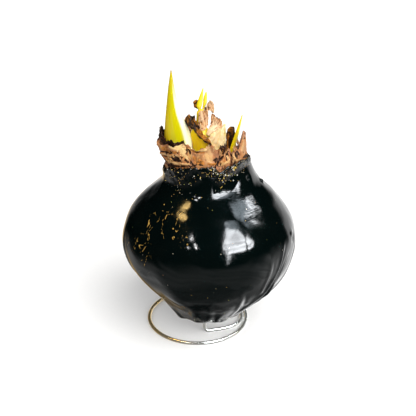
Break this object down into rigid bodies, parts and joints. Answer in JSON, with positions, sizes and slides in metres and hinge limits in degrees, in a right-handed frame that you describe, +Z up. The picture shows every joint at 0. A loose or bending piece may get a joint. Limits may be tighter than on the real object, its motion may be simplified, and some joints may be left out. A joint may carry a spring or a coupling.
{
  "type": "amaryllis bulb",
  "caption": "Sprouting amaryllis bulb dipped in glossy black wax, with yellow-green shoots among dry scales at its neck, on a coiled wire foot.",
  "frame": {"origin": "under the middle of the bounding box, on the surface the foot stands on", "axes": "+Z up along the foot's spike, -Y the front, with the large shoot at -X"},
  "size_m": [0.1034, 0.102, 0.1705],
  "materials": {
    "steel_wire": "polished round wire",
    "black_wax": "glossy black wax, uneven",
    "bulb_flesh": "moist, pale bulb tissue",
    "leaf_yellow": "satin young leaf, yellow-green",
    "leaf_pale": "satin, cream with yellow-green stripes",
    "scale_brown": "dry, papery, pink-brown",
    "scale_dark": "dry, papery, dark brown",
    "scale_pink": "dry, crumpled, pale pinkish tan"
  },
  "bodies": {
    "root": {"wire_foot": "steel_wire", "wax_coat": "black_wax", "bulb": "bulb_flesh", "shoot_large": "leaf_yellow", "shoot_centre": "leaf_yellow", "leaf_thin": "leaf_yellow", "leaf_tip_left": "leaf_yellow", "leaf_tip_right": "leaf_yellow", "leaf_tip_dead": "scale_dark", "scale_pale": "leaf_pale", "cap_roll": "scale_dark", "cap_sheath": "scale_pink", "cap_hood": "scale_pink", "cap_frill": "scale_pink", "tunic_shard": "scale_dark", "tunic_left": "scale_brown", "tunic_front": "scale_brown", "tunic_right": "scale_brown", "tunic_back": "scale_brown", "tunic_inner_left": "scale_dark", "tunic_inner_right": "scale_dark"}
  },
  "joints": []
}
